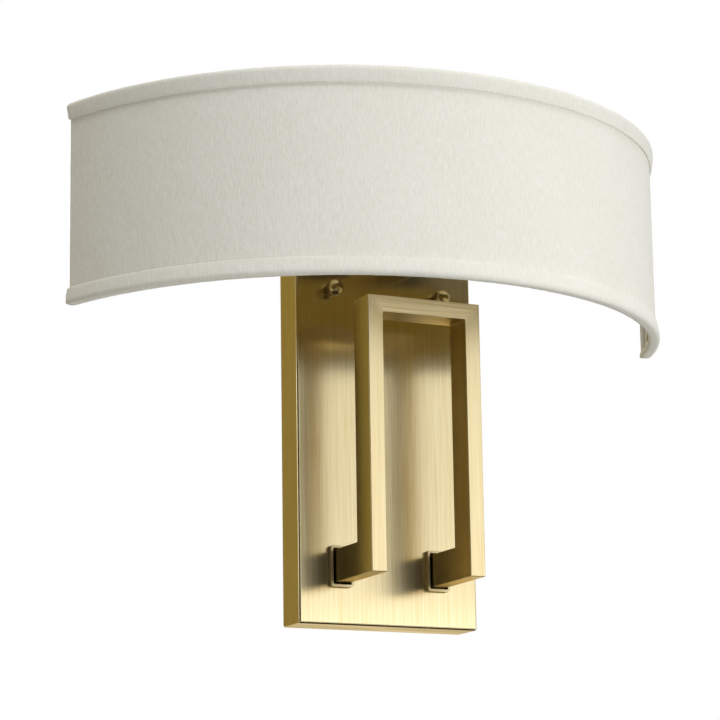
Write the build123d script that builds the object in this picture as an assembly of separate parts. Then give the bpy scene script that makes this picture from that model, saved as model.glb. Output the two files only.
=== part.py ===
from build123d import *
import os
from math import asin, cos, degrees, hypot, radians, sin, sqrt

# A wall light: a half-round fabric shade on a tall brass back plate, with a loop of
# rectangular tube standing out of the plate below the shade. Millimetres.
# X points right, Y into the wall and Z up. The wall is the plane y = 0, and z = 0 is the
# line through the two fixing studs. "Out" is the distance from the wall, so y = -out.

# ---- Back plate: a pan of sheet metal, open towards the wall
PLATE_WIDTH = 114.3
PLATE_HEIGHT = 254.0
PLATE_TOP = 57.5              # above the studs
PLATE_DEPTH = 22.0
PLATE_SHEET = 1.2
PLATE_EDGE_RADIUS = 1.5
STUD_HOLE_PLAY = 0.5          # round each stud, where it passes through the pan

# ---- Wall bracket and the two studs that hold the pan
STUD_SPACING = 69.85
STUD_RADIUS = 2.05
STUD_REACH_IN_KNOB = 6.5
STUD_CHAMFER = 0.4
BRACKET_LENGTH = 106.0
BRACKET_HEIGHT = 26.0
BRACKET_SHEET = 2.0
BRACKET_CORNER_RADIUS = 3.0
BOX_SCREW_SPACING = 88.9
BOX_SLOT_LENGTH = 8.6
BOX_SLOT_WIDTH = 4.8
CENTRE_HOLE_RADIUS = 5.2
GROUND_SCREW_X = 19.0
GROUND_SCREW_RADIUS = 2.35
GROUND_SCREW_LENGTH = 8.0     # under its head
GROUND_HEAD_RADIUS = 4.4
GROUND_HEAD_HEIGHT = 2.6
STUD_NUT_FLATS = 8.7
STUD_NUT_HEIGHT = 3.2

# ---- Slotted screw heads
HEAD_EDGE_RADIUS = 0.7
SCREW_SLOT_WIDTH = 1.1
SCREW_SLOT_DEPTH = 1.0

# ---- Ball knobs
KNOB_RADIUS = 4.8
KNOB_NECK_RADIUS = 2.9
KNOB_FOOT_RADIUS = 3.7
KNOB_FOOT_HEIGHT = 1.0
KNOB_NECK_HEIGHT = 1.6        # from the foot to where the ball begins

# ---- Loop of rectangular tube
FRAME_WIDTH = 71.5
FRAME_TOP = -14.0
FRAME_HEIGHT = 158.7
FRAME_FRONT = 73.8            # out
TUBE_FACE = 9.5
TUBE_DEPTH = 19.05
TUBE_WALL = 1.2
TUBE_EDGE_RADIUS = 0.5
ARM_END = 10.0                # out, behind the pan's front
PLUG_LENGTH = 8.0

# ---- Collars round the two arms
COLLAR_GAP = 1.0              # between tube and collar
COLLAR_WALL = 1.4
COLLAR_PROUD = 3.2
COLLAR_TAIL = 3.0
COLLAR_CORNER_RADIUS = 1.8
COLLAR_FLANGE = 1.8
COLLAR_FLANGE_SHEET = 1.0

# ---- Bracket behind the pan that carries the loop
HAT_WIDTH = 92.0
HAT_HALF_HEIGHT = 17.0
HAT_FLANGE = 9.0
HAT_SHEET = 1.5
FRAME_SCREW_RADIUS = 1.9
FRAME_SCREW_BITE = 6.5        # in the plug
FRAME_HEAD_RADIUS = 3.6
FRAME_HEAD_HEIGHT = 2.2
WASHER_RADIUS = 3.4
WASHER_SHEET = 0.8

# ---- Bracket of the two lampholders, on the front of the pan
LAMP_OUT = 72.0
LAMP_HEIGHT = 30.0            # above the studs
LAMP_BRACKET_WIDTH = 36.0
LAMP_BRACKET_SHEET = 1.5
LAMP_BRACKET_LOW = 13.0
LAMP_BRACKET_FOOT = 16.0      # height of the part that lies on the pan
LAMP_BRACKET_KNEE = 3.0       # straight run from the foot to where the legs rise
LAMP_EAR_RADIUS = 12.0        # half the size of the square ear
LAMP_SCREW_SPACING = 24.0
LAMP_SCREW_RADIUS = 2.0
LAMP_HEAD_RADIUS = 3.3
LAMP_HEAD_HEIGHT = 2.2
LAMP_SCREW_TAIL = 4.6         # behind the pan's sheet
NUT_FLATS = 8.0
NUT_HEIGHT = 3.2
BUSHING_BORE_RADIUS = 3.5
BUSHING_RADIUS = 5.0
BUSHING_FLANGE_RADIUS = 6.4
BUSHING_FLANGE_SHEET = 1.2

# ---- Candle lampholders
HOLDER_RADIUS = 10.5
HOLDER_LENGTH = 30.0
HOLDER_POCKET = 19.0
HOLDER_WEB = 2.0              # between the pocket and the lead hole
HOLDER_STUB_RADIUS = 4.8
HOLDER_STUB_LENGTH = 6.0
HOLDER_LEAD_RADIUS = 3.0
HOLDER_NUT_FLATS = 14.0
HOLDER_NUT_HEIGHT = 2.5
HOLDER_EDGE_RADIUS = 1.2
SHELL_THICKNESS = 0.5
SHELL_LENGTH = 17.5
CONTACT_RADIUS = 2.4
CONTACT_HEIGHT = 0.8

# ---- Candle bulbs
BULB_LENGTH = 98.0
BULB_RADIUS = 17.2
BULB_GLASS = 0.8
BULB_WIDEST_SHARE = 0.45      # of the glass's length, from the base
BULB_SEAL = 6.0               # length of glass inside the base
BULB_BASE_RADIUS = 5.95
BULB_BASE_SHEET = 0.5
BULB_BASE_LENGTH = 17.3
BULB_TIP_RADIUS = 2.2
BULB_TIP_HEIGHT = 0.85
BULB_INSULATOR_HEIGHT = 1.2
INSULATOR_LIP = 1.0           # past the tip contact, and into the base
BULB_STEM_RADIUS = 1.5
BULB_STEM_LENGTH = 24.0
STEM_FOOT = 2.0               # straight part of the stem's wide foot
STEM_FLARE = 6.0              # from the foot's start to the thin stem
FILAMENT_RADIUS = 0.35
FILAMENT_REACH = 17.0
FILAMENT_SPREAD = 6.0
FILAMENT_CREST = 3.0

# ---- Shade: an arc of fabric on a stiff liner
SHADE_WIDTH = 381.0
SHADE_HEIGHT = 119.0
SHADE_BOTTOM = -19.3
SHADE_REACH = 144.3           # out, to the front of the fabric
SHADE_END_OUT = 5.0           # out, to the two ends of the fabric
FABRIC_THICKNESS = 0.6
LINER_THICKNESS = 0.7
FABRIC_RETURN = 10.0          # turned in round each end of the liner
TRIM_HEIGHT = 10.0
TRIM_INNER_HEIGHT = 8.5
TRIM_SEAM_PROUD = 1.2
TRIM_EDGE_PROUD = 2.4
TRIM_FLARE_HEIGHT = 3.0
TRIM_TURN = 1.2               # cloth over the edge of the wall
TRIM_CLOTH = 0.7              # cloth round the ring
TRIM_EDGE_RADIUS = 1.6
RING_RADIUS = 1.25
RIB_FROM_END = 4.0

# ---- Strip across the back of the shade, and the posts that it hangs on
STRIP_SHEET = 1.5
STRIP_HEIGHT = 12.0
STRIP_MIDDLE_HEIGHT = 24.0
STRIP_MIDDLE_WIDTH = 104.0
STRIP_BEND_X = 158.0
STRIP_CORNER_RADIUS = 3.0
KEYHOLE_MARGIN = 3.7          # metal above each keyhole
POST_SPACING = 80.0
POST_HEIGHT = 50.0            # above the studs
POST_RADIUS = 2.0
POST_HEAD_RADIUS = 4.0
POST_HEAD_HEIGHT = 2.0
POST_TAIL = 4.6               # behind the pan's sheet
SHADE_LIFT = 9.0              # length of the keyhole's slot

# ---- Clearances
RUN_FIT = 0.05                # radial, where a piece turns on or in another
THREAD_FIT = 0.05             # radial, where a screw bites
HOLE_PLAY = 0.2               # radial, where a screw passes through
PRESS_PLAY = 0.1              # between pieces that are pushed together
GLUE_FILM = 0.1               # between fabric, liner and trim
WELD_GAP = 0.05               # between welded wires
SEAT_GAP = 0.15               # between a knob and the pan
SLIDE_GAP = 0.3               # round the hanging strip, and before each bulb's tip
BUSHING_PLAY = 0.1

# ---- Worked out from these
PLATE_BOTTOM = PLATE_TOP - PLATE_HEIGHT
PAN_INSIDE = PLATE_DEPTH - PLATE_SHEET
ARM_X = (FRAME_WIDTH - TUBE_FACE) / 2
FRAME_BOTTOM = FRAME_TOP - FRAME_HEIGHT
ARM_Z = FRAME_BOTTOM + TUBE_DEPTH / 2
COLLAR_WIDTH = TUBE_FACE + 2 * (COLLAR_GAP + COLLAR_WALL)
COLLAR_HEIGHT = TUBE_DEPTH + 2 * (COLLAR_GAP + COLLAR_WALL)

LAMP_FOOT_Z = LAMP_BRACKET_LOW + LAMP_BRACKET_FOOT / 2
LAMP_FOOT_FRONT = PLATE_DEPTH + LAMP_BRACKET_SHEET
HOLDER_SEAT = LAMP_BRACKET_WIDTH / 2
HOLDER_MOUTH = HOLDER_SEAT + HOLDER_LENGTH
HOLDER_FLOOR = HOLDER_MOUTH - HOLDER_POCKET
SHELL_INNER_RADIUS = BULB_BASE_RADIUS + RUN_FIT
SHELL_RADIUS = SHELL_INNER_RADIUS + SHELL_THICKNESS
BULB_START = HOLDER_FLOOR + WELD_GAP + CONTACT_HEIGHT + SLIDE_GAP
BULB_BASE_START = BULB_START + BULB_TIP_HEIGHT + BULB_INSULATOR_HEIGHT
BULB_BASE_END = BULB_BASE_START + BULB_BASE_LENGTH

SHADE_TOP = SHADE_BOTTOM + SHADE_HEIGHT
ARC_RISE = SHADE_REACH - SHADE_END_OUT
SHADE_RADIUS = ((SHADE_WIDTH / 2) ** 2 + ARC_RISE ** 2) / (2 * ARC_RISE)
SHADE_AXIS_Y = SHADE_RADIUS - SHADE_REACH
SHADE_HALF_ANGLE = degrees(asin(SHADE_WIDTH / 2 / SHADE_RADIUS))
WALL_THICKNESS = FABRIC_THICKNESS + GLUE_FILM + LINER_THICKNESS
WALL_LOW = TRIM_TURN + GLUE_FILM
RING_INSET = WALL_THICKNESS + GLUE_FILM + WELD_GAP + RING_RADIUS
RING_HEIGHT = TRIM_TURN + WELD_GAP + RING_RADIUS
RIB_INSET = WALL_THICKNESS + GLUE_FILM + FABRIC_THICKNESS + WELD_GAP + RING_RADIUS
STRIP_OUT = PLATE_DEPTH + SLIDE_GAP


# ---- Shapes that are used again and again
def slab(sketch, out, thickness):
    """A sketch seen from the front, made a plate from this distance out of the wall."""
    return extrude(Plane.XZ.offset(out) * sketch, amount=thickness)


def rod(radius, x, z, out, length):
    """A round rod that points out of the wall."""
    return slab(Pos(x, z) * Circle(radius), out, length)


def slotted_head(radius, height, x, z, seat):
    """A screw's round head on its seat, with a rounded edge and a slot in its end."""
    head = rod(radius, x, z, seat, height)
    head = fillet(head.edges().sort_by(Axis.Y)[0], HEAD_EDGE_RADIUS)
    slot = Pos(x, z) * Rectangle(2 * radius, SCREW_SLOT_WIDTH)
    return head - slab(slot, seat + height - SCREW_SLOT_DEPTH, SCREW_SLOT_DEPTH)


def hex_nut(flats, bore, x, z, out, thickness):
    """A hexagonal nut on an axis that points out of the wall."""
    outline = Rot(0, 0, 30) * RegularPolygon(flats / 2, 6, major_radius=False)
    return slab(Pos(x, z) * (outline - Circle(bore)), out, thickness)


def block(x_range, out_range, z_range):
    """A box between two values on each axis."""
    (x0, x1), (out0, out1), (z0, z1) = x_range, out_range, z_range
    size = Box(x1 - x0, out1 - out0, z1 - z0)
    return Pos((x0 + x1) / 2, -(out0 + out1) / 2, (z0 + z1) / 2) * size


def ribbon(points, thickness):
    """A sheet's cut edge: a band of even thickness along a bent line."""
    directions = []
    for (x0, y0), (x1, y1) in zip(points, points[1:]):
        length = hypot(x1 - x0, y1 - y0)
        directions.append(((x1 - x0) / length, (y1 - y0) / length))
    near, far = [], []
    for i, (x, y) in enumerate(points):
        ax, ay = directions[max(i - 1, 0)]
        bx, by = directions[min(i, len(directions) - 1)]
        mitre = thickness / 2 / (1 + ax * bx + ay * by)
        near.append((x - (ay + by) * mitre, y + (ax + bx) * mitre))
        far.append((x + (ay + by) * mitre, y - (ax + bx) * mitre))
    return Polygon(*far, *reversed(near), align=None)


def pair(right):
    """A shape and its mirror image on the other side of the centre line."""
    return [right, mirror(right, about=Plane.YZ)]


def turned(points):
    """A solid turned round the lampholder's axis from (x, radius) points."""
    return turned_face(make_face(Polyline(*points, close=True)))


def turned_face(face):
    """A solid turned round the lampholder's axis from a face above the X axis."""
    return Pos(0, -LAMP_OUT, LAMP_HEIGHT) * revolve(face, axis=Axis.X)


def arc_band(section, half_angle):
    """A section, drawn at its distance from the shade's axis, carried round the arc."""
    band = revolve(Plane.XZ * section, axis=Axis.Z, revolution_arc=2 * half_angle)
    return Pos(0, SHADE_AXIS_Y, 0) * Rot(0, 0, -90 - half_angle) * band


def arc_angle(distance):
    """The angle that a distance along the fabric takes up, in degrees."""
    return degrees(distance / SHADE_RADIUS)


def wall_strip(inner_inset, outer_inset, low, high):
    """The section of a layer of the shade's wall, by its depth under the fabric."""
    width = inner_inset - outer_inset
    centre = SHADE_RADIUS - (inner_inset + outer_inset) / 2
    return Pos(centre, (low + high) / 2) * Rectangle(width, high - low)


# ---- Back plate, wall bracket, studs and knobs
def make_backplate():
    middle_z = (PLATE_TOP + PLATE_BOTTOM) / 2
    outline = Pos(0, middle_z) * RectangleRounded(PLATE_WIDTH, PLATE_HEIGHT, PLATE_EDGE_RADIUS)
    pan = slab(outline, 0, PLATE_DEPTH)
    pan = fillet(pan.faces().sort_by(Axis.Y)[0].edges(), PLATE_EDGE_RADIUS)
    hollow = Rectangle(PLATE_WIDTH - 2 * PLATE_SHEET, PLATE_HEIGHT - 2 * PLATE_SHEET)
    pan -= slab(Pos(0, middle_z) * hollow, 0, PAN_INSIDE)
    for side in (-1, 1):
        pan -= rod(STUD_RADIUS + STUD_HOLE_PLAY, side * STUD_SPACING / 2, 0, 0, PLATE_DEPTH)
        collar = RectangleRounded(
            COLLAR_WIDTH + 2 * PRESS_PLAY,
            COLLAR_HEIGHT + 2 * PRESS_PLAY,
            COLLAR_CORNER_RADIUS,
        )
        pan -= slab(Pos(side * ARM_X, ARM_Z) * collar, 0, PLATE_DEPTH)
        pan -= rod(
            LAMP_SCREW_RADIUS + HOLE_PLAY, side * LAMP_SCREW_SPACING / 2, LAMP_FOOT_Z, 0, PLATE_DEPTH
        )
        pan -= rod(POST_RADIUS + THREAD_FIT, side * POST_SPACING / 2, POST_HEIGHT, 0, PLATE_DEPTH)
    return pan - rod(BUSHING_RADIUS + BUSHING_PLAY, 0, LAMP_FOOT_Z, 0, PLATE_DEPTH)


def make_wall_bracket():
    sketch = RectangleRounded(BRACKET_LENGTH, BRACKET_HEIGHT, BRACKET_CORNER_RADIUS)
    sketch -= Circle(CENTRE_HOLE_RADIUS)
    for side in (-1, 1):
        slot = SlotOverall(BOX_SLOT_LENGTH, BOX_SLOT_WIDTH)
        sketch -= Pos(side * BOX_SCREW_SPACING / 2, 0) * slot
        sketch -= Pos(side * STUD_SPACING / 2, 0) * Circle(STUD_RADIUS + THREAD_FIT)
    sketch -= Pos(-GROUND_SCREW_X, 0) * Circle(GROUND_SCREW_RADIUS + THREAD_FIT)
    return slab(sketch, 0, BRACKET_SHEET)


def make_studs():
    length = PLATE_DEPTH + SEAT_GAP + STUD_REACH_IN_KNOB
    rods = [rod(STUD_RADIUS, x, 0, 0, length) for x in stud_places()]
    return [chamfer(stud.edges(), STUD_CHAMFER) for stud in rods]


def stud_places():
    return (-STUD_SPACING / 2, STUD_SPACING / 2)


def make_stud_nuts():
    bore = STUD_RADIUS + THREAD_FIT
    return [hex_nut(STUD_NUT_FLATS, bore, x, 0, BRACKET_SHEET, STUD_NUT_HEIGHT) for x in stud_places()]


def make_ground_screw():
    shank = rod(GROUND_SCREW_RADIUS, -GROUND_SCREW_X, 0, 0, GROUND_SCREW_LENGTH)
    seat = GROUND_SCREW_LENGTH
    return shank + slotted_head(GROUND_HEAD_RADIUS, GROUND_HEAD_HEIGHT, -GROUND_SCREW_X, 0, seat)


def make_knob(x):
    """A ball on a short neck and foot, turned about its stud."""
    seat = PLATE_DEPTH + SEAT_GAP
    neck_end = seat + KNOB_FOOT_HEIGHT + KNOB_NECK_HEIGHT
    centre = neck_end + sqrt(KNOB_RADIUS ** 2 - KNOB_NECK_RADIUS ** 2)
    foot = rod(KNOB_FOOT_RADIUS, x, 0, seat, KNOB_FOOT_HEIGHT)
    neck = rod(KNOB_NECK_RADIUS, x, 0, seat, centre - seat)
    knob = foot + neck + Pos(x, -centre, 0) * Sphere(KNOB_RADIUS)
    bore_length = STUD_REACH_IN_KNOB + SLIDE_GAP
    return knob - rod(STUD_RADIUS + RUN_FIT, x, 0, seat, bore_length)


# ---- Loop of tube, its collars and what holds it
def loop_solid(inset, arm_start):
    """The loop's outline, or with an inset the space inside its tube."""
    half = FRAME_WIDTH / 2
    outs = (FRAME_FRONT - TUBE_DEPTH + inset, FRAME_FRONT - inset)
    low, high = FRAME_BOTTOM + inset, FRAME_TOP - inset
    bar_low = FRAME_TOP - TUBE_FACE + inset
    loop = block((-half + inset, half - inset), outs, (bar_low, high))
    for side in pair(block((half - TUBE_FACE + inset, half - inset), outs, (low, high))):
        loop += side
    arm_zs = (low, FRAME_BOTTOM + TUBE_DEPTH - inset)
    arm_outs = (arm_start, FRAME_FRONT - inset)
    for arm in pair(block((half - TUBE_FACE + inset, half - inset), arm_outs, arm_zs)):
        loop += arm
    return loop


def make_tube_frame():
    outside = loop_solid(0, ARM_END)
    ends = outside.faces().filter_by(Axis.Y).sort_by(Axis.Y)[-2:].edges()
    long_edges = [edge for edge in outside.edges() if edge not in ends]
    outside = fillet(long_edges, TUBE_EDGE_RADIUS)
    return outside - loop_solid(TUBE_WALL, ARM_END - TUBE_WALL)


def make_arm_collar(side):
    place = Pos(side * ARM_X, ARM_Z)
    opening = RectangleRounded(
        TUBE_FACE + 2 * COLLAR_GAP, TUBE_DEPTH + 2 * COLLAR_GAP, COLLAR_CORNER_RADIUS - COLLAR_WALL
    )
    ring = RectangleRounded(COLLAR_WIDTH, COLLAR_HEIGHT, COLLAR_CORNER_RADIUS) - opening
    length = COLLAR_TAIL + PLATE_SHEET + COLLAR_PROUD
    collar = slab(place * ring, PAN_INSIDE - COLLAR_TAIL, length)
    flange = RectangleRounded(
        COLLAR_WIDTH + 2 * COLLAR_FLANGE, COLLAR_HEIGHT + 2 * COLLAR_FLANGE, COLLAR_CORNER_RADIUS
    )
    rim = place * (flange - opening)
    return collar + slab(rim, PAN_INSIDE - COLLAR_FLANGE_SHEET, COLLAR_FLANGE_SHEET)


def make_frame_bracket():
    """A hat-shaped bracket, welded inside the pan behind the collars."""
    flange_y = -(PAN_INSIDE - HAT_SHEET / 2)
    web_y = -(ARM_END - HAT_SHEET / 2)
    heights = (HAT_HALF_HEIGHT + HAT_FLANGE, HAT_HALF_HEIGHT)
    line = [
        (flange_y, ARM_Z - heights[0]),
        (flange_y, ARM_Z - heights[1]),
        (web_y, ARM_Z - heights[1]),
        (web_y, ARM_Z + heights[1]),
        (flange_y, ARM_Z + heights[1]),
        (flange_y, ARM_Z + heights[0]),
    ]
    bent = Plane.YZ.offset(-HAT_WIDTH / 2) * ribbon(line, HAT_SHEET)
    hat = extrude(bent, amount=HAT_WIDTH)
    for side in (-1, 1):
        hat -= rod(FRAME_SCREW_RADIUS + HOLE_PLAY, side * ARM_X, ARM_Z, 0, ARM_END)
    return hat


def make_frame_plugs():
    width = TUBE_FACE - 2 * (TUBE_WALL + PRESS_PLAY)
    height = TUBE_DEPTH - 2 * (TUBE_WALL + PRESS_PLAY)
    plug = Rectangle(width, height) - Circle(FRAME_SCREW_RADIUS + THREAD_FIT)
    return pair(slab(Pos(ARM_X, ARM_Z) * plug, ARM_END, PLUG_LENGTH))


def make_frame_screws():
    """Screws whose heads face the wall."""
    seat = ARM_END - HAT_SHEET - WASHER_SHEET
    shank_length = WASHER_SHEET + HAT_SHEET + FRAME_SCREW_BITE
    shank = rod(FRAME_SCREW_RADIUS, ARM_X, ARM_Z, seat, shank_length)
    head = slotted_head(FRAME_HEAD_RADIUS, FRAME_HEAD_HEIGHT, ARM_X, ARM_Z, seat)
    return pair(shank + mirror(head, about=Plane.XZ.offset(seat)))


def make_frame_washers():
    ring = Circle(WASHER_RADIUS) - Circle(FRAME_SCREW_RADIUS + HOLE_PLAY)
    return pair(slab(Pos(ARM_X, ARM_Z) * ring, ARM_END - HAT_SHEET - WASHER_SHEET, WASHER_SHEET))


# ---- Lamp bracket and what passes through its foot
def make_lamp_bracket():
    front = LAMP_OUT + LAMP_EAR_RADIUS
    leg_x = (LAMP_BRACKET_WIDTH - LAMP_BRACKET_SHEET) / 2
    foot_y = -(PLATE_DEPTH + LAMP_BRACKET_SHEET / 2)
    top = max(LAMP_HEIGHT + LAMP_EAR_RADIUS, LAMP_BRACKET_LOW + LAMP_BRACKET_FOOT)
    bend = [(-leg_x, -front), (-leg_x, foot_y), (leg_x, foot_y), (leg_x, -front)]
    strap = extrude(ribbon(bend, LAMP_BRACKET_SHEET), amount=top - LAMP_BRACKET_LOW)
    strap = Pos(0, 0, LAMP_BRACKET_LOW) * strap
    foot_top = LAMP_BRACKET_LOW + LAMP_BRACKET_FOOT
    knee = LAMP_FOOT_FRONT + LAMP_BRACKET_KNEE
    ear_back = LAMP_OUT - LAMP_EAR_RADIUS
    side_view = Polygon(
        (-PLATE_DEPTH, LAMP_BRACKET_LOW),
        (-PLATE_DEPTH, foot_top),
        (-knee, foot_top),
        (-ear_back, LAMP_HEIGHT + LAMP_EAR_RADIUS),
        (-front, LAMP_HEIGHT + LAMP_EAR_RADIUS),
        (-front, LAMP_HEIGHT - LAMP_EAR_RADIUS),
        (-ear_back, LAMP_HEIGHT - LAMP_EAR_RADIUS),
        (-(knee + ear_back) / 2, LAMP_BRACKET_LOW),
        align=None,
    )
    cut = extrude(Plane.YZ.offset(-LAMP_BRACKET_WIDTH) * side_view, amount=2 * LAMP_BRACKET_WIDTH)
    bracket = strap & cut
    for side in (-1, 1):
        x = side * LAMP_SCREW_SPACING / 2
        bracket -= rod(LAMP_SCREW_RADIUS + HOLE_PLAY, x, LAMP_FOOT_Z, PLATE_DEPTH, LAMP_BRACKET_SHEET)
    bracket -= rod(BUSHING_RADIUS + BUSHING_PLAY, 0, LAMP_FOOT_Z, PLATE_DEPTH, LAMP_BRACKET_SHEET)
    stub_hole = Circle(HOLDER_STUB_RADIUS + HOLE_PLAY)
    across = Plane.YZ.offset(-LAMP_BRACKET_WIDTH) * Pos(-LAMP_OUT, LAMP_HEIGHT) * stub_hole
    return bracket - extrude(across, amount=2 * LAMP_BRACKET_WIDTH)


def make_lamp_bracket_screws():
    x = LAMP_SCREW_SPACING / 2
    tail = LAMP_SCREW_TAIL + PLATE_SHEET + LAMP_BRACKET_SHEET
    shank = rod(LAMP_SCREW_RADIUS, x, LAMP_FOOT_Z, LAMP_FOOT_FRONT - tail, tail)
    head = slotted_head(LAMP_HEAD_RADIUS, LAMP_HEAD_HEIGHT, x, LAMP_FOOT_Z, LAMP_FOOT_FRONT)
    return pair(shank + head)


def nut_behind_pan(radius, x, z):
    return hex_nut(NUT_FLATS, radius + THREAD_FIT, x, z, PAN_INSIDE - NUT_HEIGHT, NUT_HEIGHT)


def make_lamp_bracket_nuts():
    return pair(nut_behind_pan(LAMP_SCREW_RADIUS, LAMP_SCREW_SPACING / 2, LAMP_FOOT_Z))


def make_wire_bushing():
    back = PAN_INSIDE - BUSHING_FLANGE_SHEET
    length = LAMP_FOOT_FRONT + BUSHING_FLANGE_SHEET - back
    bushing = rod(BUSHING_RADIUS, 0, LAMP_FOOT_Z, back, length)
    for start in (back, LAMP_FOOT_FRONT):
        bushing += rod(BUSHING_FLANGE_RADIUS, 0, LAMP_FOOT_Z, start, BUSHING_FLANGE_SHEET)
    return bushing - rod(BUSHING_BORE_RADIUS, 0, LAMP_FOOT_Z, back, length)


# ---- Lampholder, drawn on the right-hand side
def make_lampholder():
    stub_end = HOLDER_SEAT - HOLDER_STUB_LENGTH
    pocket = SHELL_RADIUS + PRESS_PLAY
    floor = HOLDER_FLOOR
    web = floor - HOLDER_WEB
    face = make_face(
        Polyline(
            (stub_end, HOLDER_LEAD_RADIUS),
            (stub_end, HOLDER_STUB_RADIUS),
            (HOLDER_SEAT, HOLDER_STUB_RADIUS),
            (HOLDER_SEAT, HOLDER_RADIUS),
            (HOLDER_MOUTH, HOLDER_RADIUS),
            (HOLDER_MOUTH, pocket),
            (floor, pocket),
            (floor, 0),
            (web, 0),
            (web, HOLDER_LEAD_RADIUS),
            close=True,
        )
    )
    corners = [v for v in face.vertices() if abs(v.Y - HOLDER_RADIUS) < 1e-6]
    return turned_face(fillet(corners, HOLDER_EDGE_RADIUS))


def make_lampholder_shell():
    end = HOLDER_MOUTH - SLIDE_GAP
    start = end - SHELL_LENGTH
    return turned(
        [
            (start, SHELL_INNER_RADIUS),
            (end, SHELL_INNER_RADIUS),
            (end, SHELL_RADIUS),
            (start, SHELL_RADIUS),
        ]
    )


def make_lampholder_contact():
    start = HOLDER_FLOOR + WELD_GAP
    end = start + CONTACT_HEIGHT
    return turned([(start, 0), (end, 0), (end, CONTACT_RADIUS), (start, CONTACT_RADIUS)])


def make_lampholder_nut():
    outline = RegularPolygon(HOLDER_NUT_FLATS / 2, 6, major_radius=False)
    ring = outline - Circle(HOLDER_STUB_RADIUS + THREAD_FIT)
    start = HOLDER_SEAT - LAMP_BRACKET_SHEET - HOLDER_NUT_HEIGHT
    return extrude(Plane.YZ.offset(start) * Pos(-LAMP_OUT, LAMP_HEIGHT) * ring, amount=HOLDER_NUT_HEIGHT)


# ---- Bulb, drawn on the right-hand side
def bulb_outline(inset, start):
    """The glass's outer surface, or with an inset its inner one, as a turned solid."""
    neck_radius = BULB_BASE_RADIUS - BULB_BASE_SHEET - PRESS_PLAY - inset
    tip = BULB_START + BULB_LENGTH - inset
    widest = BULB_BASE_END + BULB_WIDEST_SHARE * (tip - BULB_BASE_END)
    widest_radius = BULB_RADIUS - inset
    neck = Line((start, neck_radius), (BULB_BASE_END, neck_radius))
    flare = Spline(
        (BULB_BASE_END, neck_radius), (widest, widest_radius), tangents=[(1, 0.15), (1, 0)]
    )
    nose = Spline((widest, widest_radius), (tip, 0), tangents=[(1, 0), (0, -1)])
    axis = Polyline((tip, 0), (start, 0), (start, neck_radius))
    return turned_face(make_face(Curve() + [neck, flare, nose, axis]))


def make_bulb_glass():
    neck_start = BULB_BASE_END - BULB_SEAL
    return bulb_outline(0, neck_start) - bulb_outline(BULB_GLASS, neck_start)


def make_bulb_base():
    inner = BULB_BASE_RADIUS - BULB_BASE_SHEET
    return turned(
        [
            (BULB_BASE_START, inner),
            (BULB_BASE_END, inner),
            (BULB_BASE_END, BULB_BASE_RADIUS),
            (BULB_BASE_START, BULB_BASE_RADIUS),
        ]
    )


def make_bulb_insulator():
    wide = BULB_BASE_START
    narrow = wide - BULB_INSULATOR_HEIGHT
    plug = BULB_BASE_RADIUS - BULB_BASE_SHEET - PRESS_PLAY
    return turned(
        [
            (narrow, 0),
            (narrow, BULB_TIP_RADIUS + INSULATOR_LIP),
            (wide, BULB_BASE_RADIUS - BULB_BASE_SHEET),
            (wide, plug),
            (wide + INSULATOR_LIP, plug),
            (wide + INSULATOR_LIP, 0),
        ]
    )


def make_bulb_contact():
    end = BULB_START + BULB_TIP_HEIGHT
    return turned([(BULB_START, 0), (end, 0), (end, BULB_TIP_RADIUS), (BULB_START, BULB_TIP_RADIUS)])


def stem_span():
    start = BULB_BASE_END - BULB_SEAL
    return start, start + BULB_STEM_LENGTH


def make_bulb_stem():
    """A glass stem that widens to a flare inside the neck."""
    start, end = stem_span()
    flare = BULB_BASE_RADIUS - BULB_BASE_SHEET - BULB_GLASS - 2 * PRESS_PLAY
    return turned(
        [
            (start, 0),
            (start, flare),
            (start + STEM_FOOT, flare),
            (start + STEM_FLARE, BULB_STEM_RADIUS),
            (end, BULB_STEM_RADIUS),
            (end, 0),
        ]
    )


def make_bulb_filament():
    """Two leads and the fine wire between their ends, as one bent wire."""
    start = stem_span()[1] + WELD_GAP
    end = start + FILAMENT_REACH
    foot = BULB_STEM_RADIUS - FILAMENT_RADIUS
    line = Polyline(
        (start, -foot),
        (end, -FILAMENT_SPREAD),
        (end + FILAMENT_CREST, 0),
        (end, FILAMENT_SPREAD),
        (start, foot),
    )
    section = Plane(line @ 0, z_dir=line % 0) * Circle(FILAMENT_RADIUS)
    wire = sweep(section, line, transition=Transition.ROUND)
    return Pos(0, -LAMP_OUT, LAMP_HEIGHT) * wire


# ---- Shade
def make_shade_fabric():
    """The outer cloth, folded round both ends of the liner."""
    low, high = SHADE_BOTTOM + WALL_LOW, SHADE_TOP - WALL_LOW
    cloth = arc_band(wall_strip(FABRIC_THICKNESS, 0, low, high), SHADE_HALF_ANGLE)
    inner_low = SHADE_BOTTOM + TRIM_INNER_HEIGHT + GLUE_FILM
    inner_high = SHADE_TOP - TRIM_INNER_HEIGHT - GLUE_FILM
    fold_inset = WALL_THICKNESS + GLUE_FILM
    end = wall_strip(fold_inset + FABRIC_THICKNESS, 0, inner_low, inner_high)
    inner = wall_strip(fold_inset + FABRIC_THICKNESS, fold_inset, inner_low, inner_high)
    cap_angle = arc_angle(FABRIC_THICKNESS) / 2
    return_angle = arc_angle(FABRIC_RETURN) / 2
    for side in (-1, 1):
        cap_turn = side * (SHADE_HALF_ANGLE - cap_angle)
        cloth += turned_about_axis(arc_band(end, cap_angle), cap_turn)
        return_turn = side * (SHADE_HALF_ANGLE - return_angle)
        cloth += turned_about_axis(arc_band(inner, return_angle), return_turn)
    return cloth


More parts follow.
